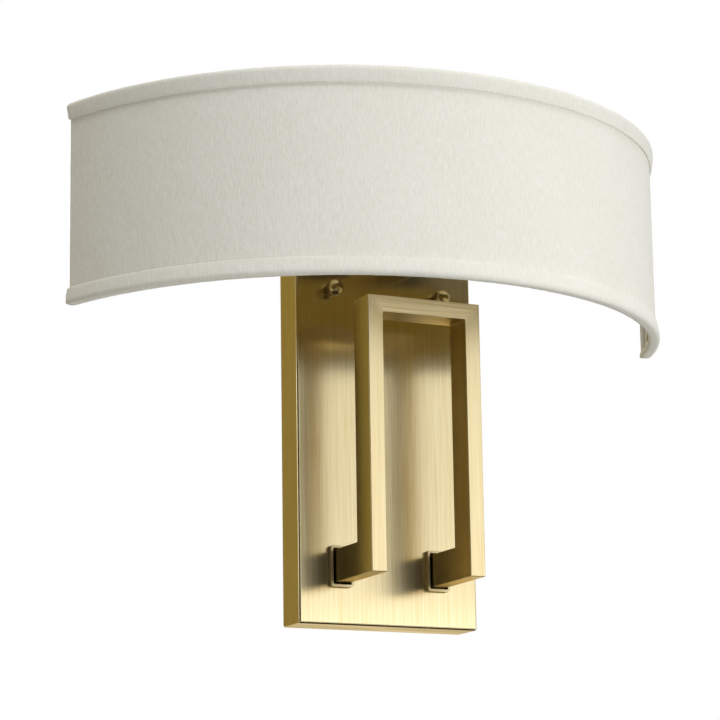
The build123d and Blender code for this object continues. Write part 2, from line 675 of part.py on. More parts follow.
def turned_about_axis(shape, angle):
    """A shape of the shade, swung round the shade's vertical axis."""
    return Pos(0, SHADE_AXIS_Y, 0) * Rot(0, 0, angle) * Pos(0, -SHADE_AXIS_Y, 0) * shape


def make_shade_liner():
    low, high = SHADE_BOTTOM + WALL_LOW, SHADE_TOP - WALL_LOW
    section = wall_strip(WALL_THICKNESS, FABRIC_THICKNESS + GLUE_FILM, low, high)
    return arc_band(section, SHADE_HALF_ANGLE - arc_angle(FABRIC_THICKNESS + GLUE_FILM))


def make_trim(edge, up):
    """The folded tape along the edge at height edge; up is 1 on the lower edge, else -1."""
    inner = -(WALL_THICKNESS + GLUE_FILM)
    ring_room = inner - 2 * (RING_RADIUS + WELD_GAP)
    leg = ring_room - TRIM_CLOTH
    outline = Polygon(
        (0, TRIM_HEIGHT),
        (TRIM_SEAM_PROUD, TRIM_HEIGHT),
        (TRIM_EDGE_PROUD, TRIM_FLARE_HEIGHT),
        (TRIM_EDGE_PROUD, 0),
        (leg, 0),
        (leg, TRIM_INNER_HEIGHT / 2),
        (inner - TRIM_CLOTH, TRIM_INNER_HEIGHT),
        (0, TRIM_INNER_HEIGHT),
        align=None,
    )
    outline = fillet([v for v in outline.vertices() if abs(v.Y) < 1e-6], TRIM_EDGE_RADIUS)
    slot_width = GLUE_FILM - inner
    slot_place = Pos(GLUE_FILM - slot_width / 2, TRIM_TURN + TRIM_HEIGHT / 2)
    cavity = slot_place * Rectangle(slot_width, TRIM_HEIGHT)
    ring_size = inner - ring_room
    ring_place = Pos(inner - ring_size / 2, TRIM_TURN + ring_size / 2)
    cavity += ring_place * Rectangle(ring_size, ring_size)
    half_angle = SHADE_HALF_ANGLE + arc_angle(GLUE_FILM)
    tape = arc_band(placed_on_edge(outline, edge, up), half_angle + arc_angle(TRIM_CLOTH))
    tape -= arc_band(placed_on_edge(cavity, edge, up), half_angle)
    for rib in pair(rib_rod(WELD_GAP)):
        tape -= rib
    return tape


def placed_on_edge(section, edge, up):
    """A section drawn upwards from the wall's outer lower corner, put on an edge."""
    if up < 0:
        section = mirror(section, about=Plane.XZ)
    return Pos(SHADE_RADIUS, edge) * section


def make_ring(edge, up):
    section = Pos(SHADE_RADIUS - RING_INSET, edge + up * RING_HEIGHT) * Circle(RING_RADIUS)
    return arc_band(section, SHADE_HALF_ANGLE - arc_angle(FABRIC_THICKNESS))


def rib_place():
    """Where the right-hand end rib stands, as x and y."""
    angle = radians(SHADE_HALF_ANGLE - arc_angle(RIB_FROM_END))
    radius = SHADE_RADIUS - RIB_INSET
    return radius * sin(angle), SHADE_AXIS_Y - radius * cos(angle)


def rib_rod(extra):
    """The right-hand end rib between the two rings, or the room for it."""
    x, y = rib_place()
    inset = RING_HEIGHT + RING_RADIUS + WELD_GAP - extra
    length = SHADE_HEIGHT - 2 * inset
    bottom = SHADE_BOTTOM + inset
    return Pos(x, y, bottom) * extrude(Circle(RING_RADIUS + extra), amount=length)


def strip_z():
    """The height of the strip's middle line."""
    return POST_HEIGHT + POST_RADIUS + SLIDE_GAP + KEYHOLE_MARGIN - STRIP_MIDDLE_HEIGHT / 2


def make_shade_strip():
    """A flat strip from end rib to end rib, with two keyholes for the posts."""
    rib_x, rib_y = rib_place()
    middle_y = -(STRIP_OUT + STRIP_SHEET / 2)
    run = hypot(rib_x - STRIP_BEND_X, rib_y - middle_y)
    share = (run - RING_RADIUS - WELD_GAP) / run
    end_x = STRIP_BEND_X + (rib_x - STRIP_BEND_X) * share
    end_y = middle_y + (rib_y - middle_y) * share
    line = [(-end_x, end_y), (-STRIP_BEND_X, middle_y), (STRIP_BEND_X, middle_y), (end_x, end_y)]
    strip = extrude(ribbon(line, STRIP_SHEET), amount=STRIP_HEIGHT)
    strip = Pos(0, 0, strip_z() - STRIP_HEIGHT / 2) * strip
    middle = Pos(0, strip_z()) * RectangleRounded(
        STRIP_MIDDLE_WIDTH, STRIP_MIDDLE_HEIGHT, STRIP_CORNER_RADIUS
    )
    strip += slab(middle, STRIP_OUT, STRIP_SHEET)
    for side in (-1, 1):
        x = side * POST_SPACING / 2
        slot = Pos(x, POST_HEIGHT) * Circle(POST_RADIUS + SLIDE_GAP)
        slot_width = 2 * (POST_RADIUS + SLIDE_GAP)
        slot += Pos(x, POST_HEIGHT - SHADE_LIFT / 2) * Rectangle(slot_width, SHADE_LIFT)
        slot += Pos(x, POST_HEIGHT - SHADE_LIFT) * Circle(POST_HEAD_RADIUS + 2 * SLIDE_GAP)
        strip -= slab(slot, STRIP_OUT, STRIP_SHEET)
    return strip


def make_shade_posts():
    """Shouldered screws; the strip hangs between the pan and their heads."""
    x = POST_SPACING / 2
    head_start = STRIP_OUT + STRIP_SHEET + SLIDE_GAP
    tail_start = PAN_INSIDE - POST_TAIL
    shank = rod(POST_RADIUS, x, POST_HEIGHT, tail_start, head_start - tail_start)
    head = slotted_head(POST_HEAD_RADIUS, POST_HEAD_HEIGHT, x, POST_HEIGHT, head_start)
    return pair(shank + head)


def make_shade_post_nuts():
    return pair(nut_behind_pan(POST_RADIUS, POST_SPACING / 2, POST_HEIGHT))


# ---- Every piece by name
def make_pieces():
    pieces = {
        "backplate": make_backplate(),
        "wall_bracket": make_wall_bracket(),
        "studs": make_studs(),
        "stud_nuts": make_stud_nuts(),
        "ground_screw": make_ground_screw(),
        "knob_left": make_knob(-STUD_SPACING / 2),
        "knob_right": make_knob(STUD_SPACING / 2),
        "tube_frame": make_tube_frame(),
        "arm_collar_left": make_arm_collar(-1),
        "arm_collar_right": make_arm_collar(1),
        "frame_bracket": make_frame_bracket(),
        "frame_plugs": make_frame_plugs(),
        "frame_screws": make_frame_screws(),
        "frame_washers": make_frame_washers(),
        "lamp_bracket": make_lamp_bracket(),
        "lamp_bracket_screws": make_lamp_bracket_screws(),
        "lamp_bracket_nuts": make_lamp_bracket_nuts(),
        "wire_bushing": make_wire_bushing(),
        "lampholder_nuts": pair(make_lampholder_nut()),
        "shade_posts": make_shade_posts(),
        "shade_post_nuts": make_shade_post_nuts(),
        "shade_fabric": make_shade_fabric(),
        "shade_liner": make_shade_liner(),
        "shade_top_trim": make_trim(SHADE_TOP, -1),
        "shade_bottom_trim": make_trim(SHADE_BOTTOM, 1),
        "shade_top_ring": make_ring(SHADE_TOP, -1),
        "shade_bottom_ring": make_ring(SHADE_BOTTOM, 1),
        "shade_strip": make_shade_strip(),
    }
    mirrored = {
        "lampholder": make_lampholder(),
        "lampholder_shell": make_lampholder_shell(),
        "lampholder_contact": make_lampholder_contact(),
        "bulb_glass": make_bulb_glass(),
        "bulb_base": make_bulb_base(),
        "bulb_insulator": make_bulb_insulator(),
        "bulb_contact": make_bulb_contact(),
        "bulb_stem": make_bulb_stem(),
        "bulb_filament": make_bulb_filament(),
        "shade_end_rib": rib_rod(0),
    }
    for name, right in mirrored.items():
        pieces[name + "_right"] = right
        pieces[name + "_left"] = mirror(right, about=Plane.YZ)
    return pieces


os.makedirs("parts", exist_ok=True)
for name, shape in make_pieces().items():
    if isinstance(shape, list):
        shape = Compound(children=shape)
    export_step(shape, "parts/" + name + ".step")
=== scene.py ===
"""Looks of a wall light: linen shade, brushed brass plate and loop, and what they hold."""

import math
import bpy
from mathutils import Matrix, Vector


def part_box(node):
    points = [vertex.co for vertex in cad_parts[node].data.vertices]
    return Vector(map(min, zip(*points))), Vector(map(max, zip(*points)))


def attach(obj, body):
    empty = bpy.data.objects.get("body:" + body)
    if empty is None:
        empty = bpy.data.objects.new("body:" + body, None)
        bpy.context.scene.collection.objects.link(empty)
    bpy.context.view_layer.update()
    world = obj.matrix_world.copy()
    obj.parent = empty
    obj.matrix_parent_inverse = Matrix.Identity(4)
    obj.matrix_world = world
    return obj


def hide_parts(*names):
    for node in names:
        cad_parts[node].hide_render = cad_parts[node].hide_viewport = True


bl_info = {
    "name": "Half-round wall light",
    "version": (1, 0, 0),
    "blender": (4, 5, 0),
    "location": "3D View > Sidebar > Wall light",
    "description": "Dresses the wall light's frame in linen and brushed brass",
    "category": "Object",
}

import bmesh
import bpy
from mathutils import Matrix, Vector, noise

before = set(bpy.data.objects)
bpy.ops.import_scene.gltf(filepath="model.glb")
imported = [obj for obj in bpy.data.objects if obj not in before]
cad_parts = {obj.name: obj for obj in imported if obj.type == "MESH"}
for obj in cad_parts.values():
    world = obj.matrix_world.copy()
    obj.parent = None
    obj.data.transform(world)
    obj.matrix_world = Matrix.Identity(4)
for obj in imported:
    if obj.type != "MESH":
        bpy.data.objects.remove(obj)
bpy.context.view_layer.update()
CLOTH_LOW, CLOTH_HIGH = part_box("shade_fabric")
TRIM_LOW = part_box("shade_bottom_trim")[0]
TRIM_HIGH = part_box("shade_top_trim")[1]
MM = 0.001
COLUMN_STEP = math.radians(0.28)  # between the columns of faces round the shade


# ---- Settings that a user would change
class ShadeSettings(bpy.types.PropertyGroup):
    width: bpy.props.FloatProperty(
        name="Width",
        description="Width of the shade over its outer cloth",
        default=CLOTH_HIGH[0] - CLOTH_LOW[0],
        unit="LENGTH",
    )
    reach: bpy.props.FloatProperty(
        name="Reach",
        description="Distance from the wall to the front of the outer cloth",
        default=-CLOTH_LOW[1],
        unit="LENGTH",
    )
    end_gap: bpy.props.FloatProperty(
        name="End gap",
        description="Distance from the wall to the shade's two ends",
        default=5 * MM,
        unit="LENGTH",
    )
    fold_back: bpy.props.FloatProperty(
        name="Fold-back",
        description="Cloth turned in round each end of the liner",
        default=10 * MM,
        unit="LENGTH",
    )
    cloth_thickness: bpy.props.FloatProperty(
        name="Cloth thickness",
        description="Thickness of the outer cloth",
        default=0.6 * MM,
        unit="LENGTH",
    )
    tape_thickness: bpy.props.FloatProperty(
        name="Tape thickness",
        description="Thickness of the trim tapes",
        default=0.55 * MM,
        unit="LENGTH",
    )
    relief: bpy.props.FloatProperty(
        name="Relief",
        description="How far the cloth's slubs rise and sink",
        default=0.07 * MM,
        unit="LENGTH",
    )


class LinenSettings(bpy.types.PropertyGroup):
    colour: bpy.props.FloatVectorProperty(
        name="Linen",
        description="Colour of the shade's cloth",
        subtype="COLOR",
        size=3,
        default=(0.87, 0.865, 0.80),
    )
    thread_colour: bpy.props.FloatVectorProperty(
        name="Slub shade",
        description="Colour between the raised threads",
        subtype="COLOR",
        size=3,
        default=(0.78, 0.765, 0.68),
    )
    # Painted shade: the liner is given a dark warm brown that stands in for the shade inside the
    # lampshade, which the plate mirrors
    liner_shaded_colour: bpy.props.FloatVectorProperty(
        name="Liner",
        description="Colour of the stiff sheet inside the shade",
        subtype="COLOR",
        size=3,
        default=(0.54, 0.40, 0.10),
    )
    slub_width: bpy.props.FloatProperty(
        name="Slub width",
        description="Width of the upright slubs",
        default=1.2 * MM,
        unit="LENGTH",
    )
    slub_length: bpy.props.FloatProperty(
        name="Slub length",
        description="Length of the upright slubs",
        default=5 * MM,
        unit="LENGTH",
    )


class BrassSettings(bpy.types.PropertyGroup):
    colour: bpy.props.FloatVectorProperty(
        name="Brass",
        description="Colour of the brushed brass",
        subtype="COLOR",
        size=3,
        default=(0.66, 0.58, 0.37),
    )
    groove_colour: bpy.props.FloatVectorProperty(
        name="Grooves",
        description="Colour in the brush lines",
        subtype="COLOR",
        size=3,
        default=(0.57, 0.46, 0.24),
    )
    edge_colour: bpy.props.FloatVectorProperty(
        name="Edges",
        description="Colour of the brass where it is seen at a glancing angle",
        subtype="COLOR",
        size=3,
        default=(0.86, 0.70, 0.40),
    )
    # Painted shade: the knobs' brass is darkened to stand in for the dark surroundings that the
    # round knobs mirror
    knob_shaded_colour: bpy.props.FloatVectorProperty(
        name="Knobs",
        description="Colour of the knobs' darker brass",
        subtype="COLOR",
        size=3,
        default=(0.40, 0.30, 0.12),
    )
    plate_roughness: bpy.props.FloatProperty(
        name="Plate roughness",
        description="Roughness of the back plate",
        default=0.22,
        min=0,
        max=1,
        subtype="FACTOR",
    )
    loop_roughness: bpy.props.FloatProperty(
        name="Loop roughness",
        description="Roughness of the loop's legs and arms, and of the knobs",
        default=0.30,
        min=0,
        max=1,
        subtype="FACTOR",
    )
    collar_roughness: bpy.props.FloatProperty(
        name="Collar roughness",
        description="Roughness of the collars that the loop's arms stand in",
        default=0.48,
        min=0,
        max=1,
        subtype="FACTOR",
    )
    stretch: bpy.props.FloatProperty(
        name="Stretch",
        description="How far the brush lines spread a highlight sideways",
        default=0.78,
        min=0,
        max=1,
        subtype="FACTOR",
    )
    line_width: bpy.props.FloatProperty(
        name="Line width",
        description="Width of the brush lines",
        default=0.7 * MM,
        unit="LENGTH",
    )
    line_length: bpy.props.FloatProperty(
        name="Line length",
        description="Length of the brush lines",
        default=60 * MM,
        unit="LENGTH",
    )


class StageSettings(bpy.types.PropertyGroup):
    low_box: bpy.props.FloatProperty(
        name="Low box",
        description="Brightness of the soft box low at the front right, where 1 is white",
        default=4.95,
        min=0,
    )
    high_box: bpy.props.FloatProperty(
        name="High box",
        description="Brightness of the soft box high at the front, where 1 is white",
        default=6.4,
        min=0,
    )
    front_box: bpy.props.FloatProperty(
        name="Front box",
        description="Brightness of the soft box that the plate mirrors, where 1 is white",
        default=0.34,
        min=0,
    )
    lip_box: bpy.props.FloatProperty(
        name="Lip box",
        description="Brightness of the low strip that the loop mirrors, where 1 is white",
        default=1.6,
        min=0,
    )
    side_strip: bpy.props.FloatProperty(
        name="Side strip",
        description="Brightness of the strip light at the left, where 1 is white",
        default=1.6,
        min=0,
    )
    fill: bpy.props.FloatProperty(
        name="Fill",
        description="Brightness of the room's even light, where 1 is white",
        default=0.52,
        min=0,
    )
    lens: bpy.props.FloatProperty(
        name="Lens",
        description="Focal length of the camera on a sensor 36 mm wide",
        default=138.3,
        subtype="DISTANCE_CAMERA",
    )


# ---- Shader maths
class Signal:
    """A socket of a node tree. Arithmetic on it adds Math nodes."""

    def __init__(self, recipe, socket):
        self.recipe = recipe
        self.socket = socket

    def __getitem__(self, name):
        return Signal(self.recipe, self.socket.node.outputs[name])

    def _maths(self, operation, *values):
        return self.recipe.node("ShaderNodeMath", {"operation": operation}, dict(enumerate(values)))

    def __add__(self, other):
        return self._maths("ADD", self, other)

    def __sub__(self, other):
        return self._maths("SUBTRACT", self, other)

    def __rsub__(self, other):
        return self._maths("SUBTRACT", other, self)

    def __mul__(self, other):
        return self._maths("MULTIPLY", self, other)

    __radd__ = __add__
    __rmul__ = __mul__

    def size(self):
        return self._maths("ABSOLUTE", self)

    def larger(self, other):
        return self._maths("MAXIMUM", self, other)


class Recipe:
    """A node tree, written from its coordinates to its output."""

    def __init__(self, tree):
        self.tree = tree
        tree.nodes.clear()

    @classmethod
    def material(cls, name):
        made = bpy.data.materials.new(name)
        made.use_nodes = True
        return made, cls(made.node_tree)

    def node(self, kind, settings=None, inputs=None, output=0):
        """One node: its settings, the values or links of its sockets, and the output wanted."""
        made = self.tree.nodes.new(kind)
        for name, value in (settings or {}).items():
            setattr(made, name, value)
        for key, value in (inputs or {}).items():
            if isinstance(value, Signal):
                self.tree.links.new(value.socket, made.inputs[key])
            else:
                made.inputs[key].default_value = value
        return Signal(self, made.outputs[output]) if made.outputs else None

    def object_place(self):
        return self.node("ShaderNodeTexCoord", output="Object")

    def cloth_place(self):
        return self.node("ShaderNodeTexCoord", output="UV")

    def noise(self, place, sizes, detail=2.0, roughness=0.5, distortion=0.0):
        """Noise whose grains measure sizes, in metres along each axis."""
        scale = tuple(1 / size for size in sizes)
        grid = self.node("ShaderNodeVectorMath", {"operation": "MULTIPLY"}, {0: place, 1: scale})
        return self.node(
            "ShaderNodeTexNoise",
            {},
            {
                "Vector": grid,
                "Scale": 1.0,
                "Detail": detail,
                "Roughness": roughness,
                "Distortion": distortion,
            },
        )

    def contrast(self, value, low, high):
        """Maps low to 0 and high to 1, and holds what lies beyond."""
        return self.node(
            "ShaderNodeMapRange", {"clamp": True}, {0: value, 1: low, 2: high, 3: 0.0, 4: 1.0}
        )

    def blend(self, share, first, second):
        """A colour between two, by share."""
        first, second = ((*c, 1) if isinstance(c, tuple) else c for c in (first, second))
        inputs = {0: share, 6: first, 7: second}
        return self.node("ShaderNodeMix", {"data_type": "RGBA"}, inputs, output=2)

    def bump(self, height, distance, strength=1.0):
        return self.node(
            "ShaderNodeBump", {}, {"Height": height, "Distance": distance, "Strength": strength}
        )

    def surface(self, inputs):
        """The material's one shader, and its output."""
        shader = self.node("ShaderNodeBsdfPrincipled", {}, inputs)
        self.node("ShaderNodeOutputMaterial", {}, {"Surface": shader})


def rgb(colour):
    """A setting's colour as plain numbers."""
    return tuple(colour)


def shifted(colour, share):
    """The colour made lighter, or with a share below 1 darker."""
    return tuple(min(1.0, c * share) for c in colour)


# ---- Finishes
def linen_finish(name, settings):
    """Off-white linen: upright slubs, a fine weft across them and slow mottling."""
    made, recipe = Recipe.material(name)
    place = recipe.cloth_place()
    slub_size = (settings.slub_width, settings.slub_length, 1)
    slub = recipe.noise(place, slub_size, detail=3, roughness=0.6, distortion=0.4)
    thread = recipe.noise(place, (0.45 * MM, 5 * MM, 1), detail=2)
    weft = recipe.noise(place, (6 * MM, 0.5 * MM, 1), detail=1)
    mottle = recipe.noise(place, (45 * MM, 60 * MM, 1), detail=2)
    raised = recipe.contrast(slub * 0.6 + thread * 0.25 + mottle * 0.15, 0.34, 0.66)
    height = slub * 0.7 + thread * 0.2 + weft * 0.1
    recipe.surface(
        {
            "Base Color": recipe.blend(raised, rgb(settings.thread_colour), rgb(settings.colour)),
            "Roughness": 0.86 + 0.1 * slub,
            "Normal": recipe.bump(height, 0.5 * MM, 0.55),
            "IOR": 1.4,
            "Specular IOR Level": 0.3,
            "Sheen Weight": 0.12,
            "Sheen Roughness": 0.4,
        }
    )
    return made


def brass_finish(name, settings, roughness, stretch, turn=0.0, rail=None):
    """Brass brushed up and down, and a little clouded.

    A rail is the loop's top: where z less the distance from the middle passes it, the brush
    lines run level, and the brass is rougher and painted lighter, a painted highlight for the light
    it mirrors.
    """
    made, recipe = Recipe.material(name)
    place = recipe.object_place()
    wide, long = settings.line_width, settings.line_length
    cloud = recipe.noise(place, (30 * MM, 30 * MM, 45 * MM), detail=2)
    lines = recipe.noise(place, (wide, wide, long), detail=3, roughness=0.6)
    hair = recipe.noise(place, (wide / 3, wide / 3, long / 2), detail=1)
    colour_with_rail_highlight = rgb(settings.colour)
    if rail is not None:
        apart = recipe.node("ShaderNodeSeparateXYZ", {}, {"Vector": place})
        mitre = apart["Z"] - apart["X"].size()
        on_rail = recipe.contrast(mitre, rail - 4 * MM, rail + 3 * MM)
        level = recipe.noise(place, (long, wide, wide), detail=3, roughness=0.6)
        lines = level * on_rail + lines * (1 - on_rail)
        hair = hair * (1 - on_rail) + 0.5 * on_rail
        roughness = roughness + 0.17 * on_rail
        # Painted highlight: on the rail the brass colour is made lighter to stand in for the bright
        # light it reflects
        colour_with_rail_highlight = recipe.blend(on_rail, rgb(settings.colour), shifted(settings.colour, 1.35))
    raised = recipe.contrast(lines * 0.6 + hair * 0.3 + cloud * 0.1, 0.36, 0.64)
    recipe.surface(
        {
            "Base Color": recipe.blend(raised, rgb(settings.groove_colour), colour_with_rail_highlight),
            "Metallic": 1.0,
            "Roughness": roughness + 0.06 * (lines - 0.5) + 0.05 * (cloud - 0.5),
            "Normal": recipe.bump(lines * 0.6 + hair * 0.4, 0.02 * MM, 0.5),
            "Anisotropic": stretch,
            "Anisotropic Rotation": turn,
            "Specular Tint": (*settings.edge_colour, 1),
            "Coat Weight": 0.05,
            "Coat Roughness": 0.2,
        }
    )
    return made


def plain_finish(name, colour, roughness, metallic=0.0, grain=(1, 1, 1), relief=0.0, more=None):
    """A made material with its own grain: its colour, gloss and surface vary a little.

    Grain is the size of its marks along x, y and z, and relief their depth, in millimetres.
    """
    made, recipe = Recipe.material(name)
    place = recipe.object_place()
    sizes = tuple(size * MM for size in grain)
    fine = recipe.noise(place, sizes, detail=3, roughness=0.6)
    cloud = recipe.noise(place, (14 * MM, 14 * MM, 14 * MM), detail=2)
    share = recipe.contrast(fine * 0.6 + cloud * 0.4, 0.35, 0.65)
    inputs = {
        "Base Color": recipe.blend(share, shifted(colour, 0.86), shifted(colour, 1.06)),
        "Metallic": metallic,
        "Roughness": roughness + 0.12 * (fine - 0.5) + 0.08 * (cloud - 0.5),
        **(more or {}),
    }
    if relief:
        inputs["Normal"] = recipe.bump(fine, relief * MM, 0.5)
    recipe.surface(inputs)
    return made


def wear(made, *nodes):
    """Gives CAD nodes their finish."""
    for name in nodes:
        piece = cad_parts[name]
        if not piece.material_slots:
            piece.data.materials.append(made)
        for slot in piece.material_slots:
            slot.material = made


def both(*stems):
    """The names of the left and the right piece of each pair."""
    return [stem + side for stem in stems for side in ("_left", "_right")]


# ---- The shade's plan
class Plan:
    """The arc of the shade, seen from above."""

    def __init__(self, settings):
        rise = settings.reach - settings.end_gap
        half = settings.width / 2
        self.radius = (half**2 + rise**2) / (2 * rise)
        self.axis = Vector((0, self.radius - settings.reach, 0))
        self.half_angle = math.asin(half / self.radius)

    def angle(self, length):
        """The angle that a length takes up on the arc."""
        return length / self.radius

    def point(self, angle, inset, z):
        """A point at this angle from straight ahead, this far inside the outer cloth."""
        reach = self.radius - inset
        return self.axis + Vector((reach * math.sin(angle), -reach * math.cos(angle), z))

    def along(self, point):
        """How far a point lies along the arc, from straight ahead."""
        return math.atan2(point.x, self.axis.y - point.y) * self.radius


def swept(mesh, edge, centre, angle, step):
    """Carries an edge loop round an upright axis, and gives its last place."""
    turned = bmesh.ops.spin(
        mesh,
        geom=edge,
        cent=centre,
        axis=(0, 0, 1),
        angle=angle,
        steps=max(2, round(abs(angle) / step)),
    )
    return turned["geom_last"]


def lay_cloth(mesh, plan, lengths):
    """Cloth coordinates in metres: along the arc, and along the cut edge's length."""
    layer = mesh.loops.layers.uv.new("cloth")
    for face in mesh.faces:
        for loop in face.loops:
            loop[layer].uv = (plan.along(loop.vert.co), loop.vert[lengths])


def slubs(u, v):
    """The height of the cloth's slubs at a place, from about -1 to 1.

    The third number of each noise only keeps it apart from the other two.
    """
    upright = noise.noise(Vector((u / (2.2 * MM), v / (7 * MM), 0.3)))
    crinkle = noise.noise(Vector((u / (4 * MM), v / (10 * MM), 4.7)))
    slow = noise.noise(Vector((u / (50 * MM), v / (60 * MM), 9.1)))
    return upright + 0.8 * crinkle + 1.2 * slow


def raise_slubs(mesh, plan, lengths, height):
    """Moves a sheet in and out along its normals, up to about this height."""
    mesh.normal_update()
    moves = [
        (vert, vert.normal * height * slubs(plan.along(vert.co), vert[lengths]))
        for vert in mesh.verts
    ]
    for vert, move in moves:
        vert.co += move


def finished_piece(mesh, name, material, thickness):
    """The mesh as an object with a cloth's thickness."""
    for face in mesh.faces:
        face.smooth = True
    data = bpy.data.meshes.new(name)
    mesh.to_mesh(data)
    mesh.free()
    piece = bpy.data.objects.new(name, data)
    bpy.context.scene.collection.objects.link(piece)
    data.materials.append(material)
    solid = piece.modifiers.new("thickness", "SOLIDIFY")
    solid.thickness = thickness
    solid.offset = 0
    return piece


def face_outwards(mesh, plan):
    """Turns the sheet's faces away from the shade's axis at its front."""
    front = min(mesh.faces, key=lambda face: face.calc_center_median().y)
    if front.normal.y > 0:
        bmesh.ops.reverse_faces(mesh, faces=mesh.faces)


class WALLLIGHT_OT_shade_cloth(bpy.types.Operator):
    """Outer cloth of the shade, folded round both ends of the liner"""

    bl_idname = "walllight.shade_cloth"
    bl_label = "Shade cloth"

    rows: bpy.props.IntProperty(
        name="Rows", description="Rows of faces in the height", default=72, min=8
    )
    step: bpy.props.FloatProperty(
        name="Step", description="Angle between columns", default=COLUMN_STEP, subtype="ANGLE"
    )

    def execute(self, context):
        settings = context.scene.wall_light_shade
        plan = Plan(settings)
        thickness = settings.cloth_thickness
        # How deep the middle of the cloth lies, in front and where it is folded in
        outer, inner = thickness / 2, 1.8 * MM
        fold = (inner - outer) / 2
        corner = plan.angle(fold + thickness / 2)
        end = plan.half_angle - corner
        back = plan.angle(settings.fold_back)
        low, high = CLOTH_LOW[2], CLOTH_HIGH[2]

        mesh = bmesh.new()
        lengths = mesh.verts.layers.float.new("length")
        cut_edge = back - plan.half_angle
        foot = mesh.verts.new(plan.point(cut_edge, inner, low))
        head = mesh.verts.new(plan.point(cut_edge, inner, high))
        mesh.edges.new((foot, head))
        bmesh.ops.subdivide_edges(mesh, edges=mesh.edges, cuts=self.rows - 1)
        for vert in mesh.verts:
            vert[lengths] = vert.co.z
        column = list(mesh.verts) + list(mesh.edges)
        turn = math.radians(30)
        tuck = back - corner
        hidden_step = self.step * 4
        centre = inner - fold
        column = swept(mesh, column, plan.axis, -tuck, hidden_step)
        column = swept(mesh, column, plan.point(-end, centre, 0), math.pi, turn)
        column = swept(mesh, column, plan.axis, 2 * end, self.step)
        column = swept(mesh, column, plan.point(end, centre, 0), math.pi, turn)
        swept(mesh, column, plan.axis, -tuck, hidden_step)
        bmesh.ops.remove_doubles(mesh, verts=mesh.verts, dist=1e-6)
        face_outwards(mesh, plan)
        raise_slubs(mesh, plan, lengths, settings.relief)
        lay_cloth(mesh, plan, lengths)

        material = linen_finish("linen", context.scene.wall_light_linen)
        piece = finished_piece(mesh, "shade_cloth", material, thickness)
        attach(piece, "shade")
        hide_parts("shade_fabric")
        return {"FINISHED"}


class WALLLIGHT_OT_trim_tapes(bpy.types.Operator):
    """Tapes glued over the shade's upper and lower edge and its two rings"""

    bl_idname = "walllight.trim_tapes"
    bl_label = "Trim tapes"

    step: bpy.props.FloatProperty(
        name="Step", description="Angle between columns", default=COLUMN_STEP, subtype="ANGLE"
    )

    # Millimetres outside the outer cloth, and above the shade's edge
    section = (
        (0.30, 6.5),
        (0.30, 9.35),
        (0.42, 9.62),
        (0.66, 9.72),
        (0.90, 9.60),
        (1.00, 9.30),
        (1.30, 7.6),
        (1.70, 5.2),
        (2.05, 3.1),
        (2.12, 1.9),
        (1.85, 0.95),
        (1.20, 0.42),
        (0.30, 0.29),
        (-1.2, 0.28),
        (-2.8, 0.30),
        (-3.8, 0.50),
        (-4.35, 1.10),
        (-4.52, 2.0),
        (-4.40, 3.1),
        (-3.75, 4.2),
        (-2.75, 5.0),
        (-2.15, 6.0),
        (-1.88, 7.2),
        (-1.84, 8.35),
    )

    def execute(self, context):
        settings = context.scene.wall_light_shade
        plan = Plan(settings)
        material = linen_finish("linen_tape", context.scene.wall_light_linen)
        places = (("top", TRIM_HIGH[2], -1), ("bottom", TRIM_LOW[2], 1))
        for name, edge, up in places:
            self.tape(name, edge, up, plan, settings, material)
        return {"FINISHED"}

    def tape(self, name, edge, up, plan, settings, material):
        past_cloth = 0.5 * MM
        end = plan.half_angle + plan.angle(past_cloth)
        mesh = bmesh.new()
        lengths = mesh.verts.layers.float.new("length")
        length, last = 0.0, None
        for out, above in self.section:
            place = plan.point(-end, -out * MM, edge + up * above * MM)
            vert = mesh.verts.new(place)
            if last:
                length += (place - last.co).length
                mesh.edges.new((last, vert))
            vert[lengths] = edge + up * (10 * MM - length)
            last = vert
        swept(mesh, list(mesh.verts) + list(mesh.edges), plan.axis, 2 * end, self.step)
        face_outwards(mesh, plan)
        raise_slubs(mesh, plan, lengths, settings.relief * 1.3)
        self.tuck_ends(mesh, plan, edge, up)
        self.close_ends(mesh, plan, end, edge, up)
        lay_cloth(mesh, plan, lengths)
        piece = finished_piece(mesh, f"trim_tape_{name}", material, settings.tape_thickness)
        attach(piece, "shade")
        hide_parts(f"shade_{name}_trim")
        2 * end * plan.radius

    def heart(self, plan, angle, edge, up):
        """The middle of the roll, where the wire ring runs."""
        return plan.point(angle, 1.2 * MM, edge + up * 3.2 * MM)

    def close_ends(self, mesh, plan, end, edge, up):
        """Folds the tape in over its two ends, in two steps toward the heart of the roll."""
        for side in (-1, 1):
            heart = self.heart(plan, side * end, edge, up)
            away = heart - self.heart(plan, side * (end - 0.01), edge, up)
            edges = [
                line
                for line in mesh.edges
                if line.is_boundary
                and all(side * plan.along(v.co) > (end - 1e-4) * plan.radius for v in line.verts)
            ]
            for share, push in ((0.55, 0.5 * MM), (0.04, 0.1 * MM)):
                folded = bmesh.ops.extrude_edge_only(mesh, edges=edges)["geom"]
                verts = [part for part in folded if isinstance(part, bmesh.types.BMVert)]
                edges = [part for part in folded if isinstance(part, bmesh.types.BMEdge)]
                space = Matrix.Translation(-heart)
                bmesh.ops.scale(mesh, vec=(share, share, share), space=space, verts=verts)
                bmesh.ops.translate(mesh, vec=away.normalized() * push, verts=verts)
        bmesh.ops.recalc_face_normals(mesh, faces=mesh.faces)
        face_outwards(mesh, plan)

    def tuck_ends(self, mesh, plan, edge, up):
        """Draws the tape's cut ends together, in small uneven folds."""
        reach = 3.2 * MM
        folds_per_metre = 900
        end = plan.half_angle * plan.radius
        for vert in mesh.verts:
            along = plan.along(vert.co)
            near = 1 - (end - abs(along)) / reach
            if near <= 0:
                continue
            angle = plan.angle(along)
            heart = self.heart(plan, angle, edge, up)
            fold = noise.noise(vert.co * folds_per_metre)
            pull = min(1.0, near) ** 2 * (0.10 + 0.16 * fold)
            vert.co += (heart - vert.co) * pull


